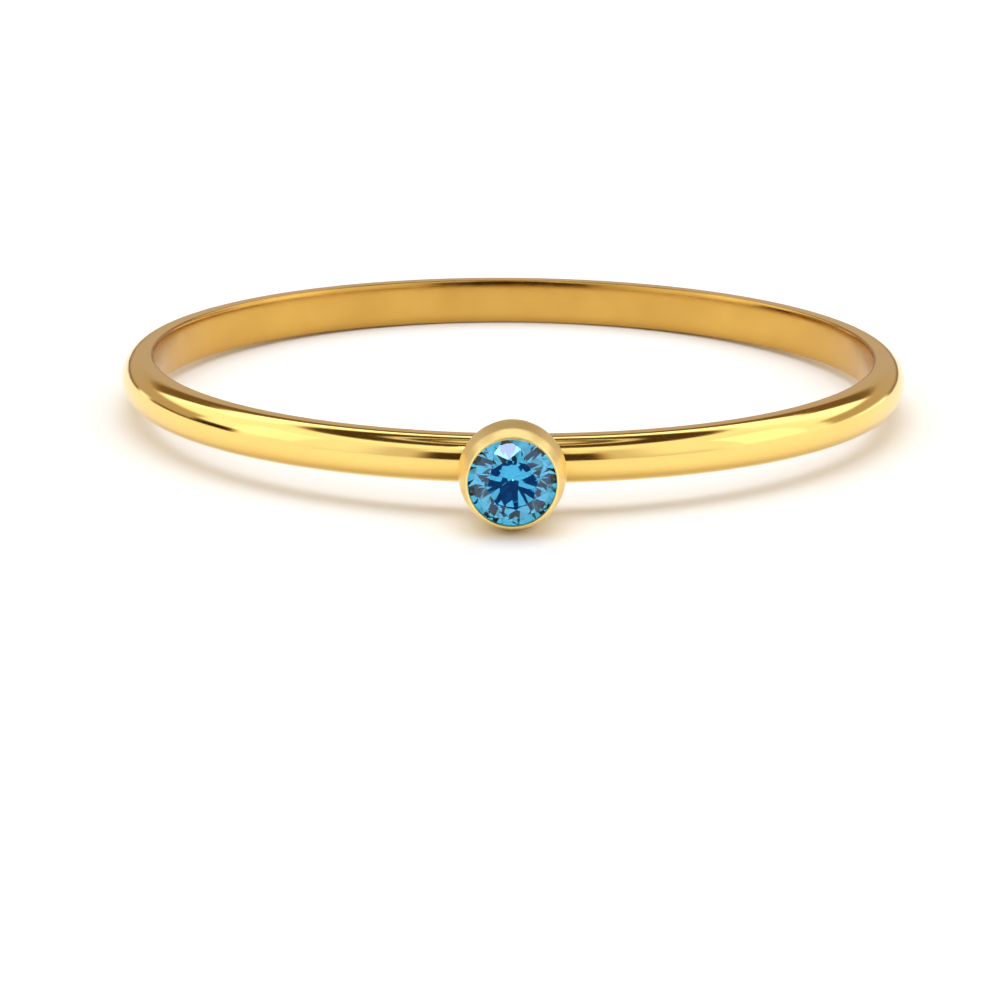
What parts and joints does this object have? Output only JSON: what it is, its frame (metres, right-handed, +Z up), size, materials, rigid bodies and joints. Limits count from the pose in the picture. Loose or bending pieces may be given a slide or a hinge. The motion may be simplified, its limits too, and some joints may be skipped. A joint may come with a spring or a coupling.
{
  "type": "stackable ring",
  "caption": "Slim polished yellow-gold stacking ring with a domed band and a round blue stone in a raised bezel cup, lying on its side.",
  "frame": {"origin": "on the floor, under the middle of the ring's bounding box", "axes": "+Z up from the floor on which the ring lies on its side, -Y the way that the stone faces, +X to the right as seen from the front"},
  "size_m": [0.0188, 0.0208, 0.0024],
  "materials": {
    "polished_gold": "polished yellow gold, with a softly satin lip round the stone",
    "blue_stone": "faceted and polished, clear sky blue"
  },
  "bodies": {
    "root": {"band_with_bezel": "polished_gold", "stone": "blue_stone"}
  },
  "joints": []
}
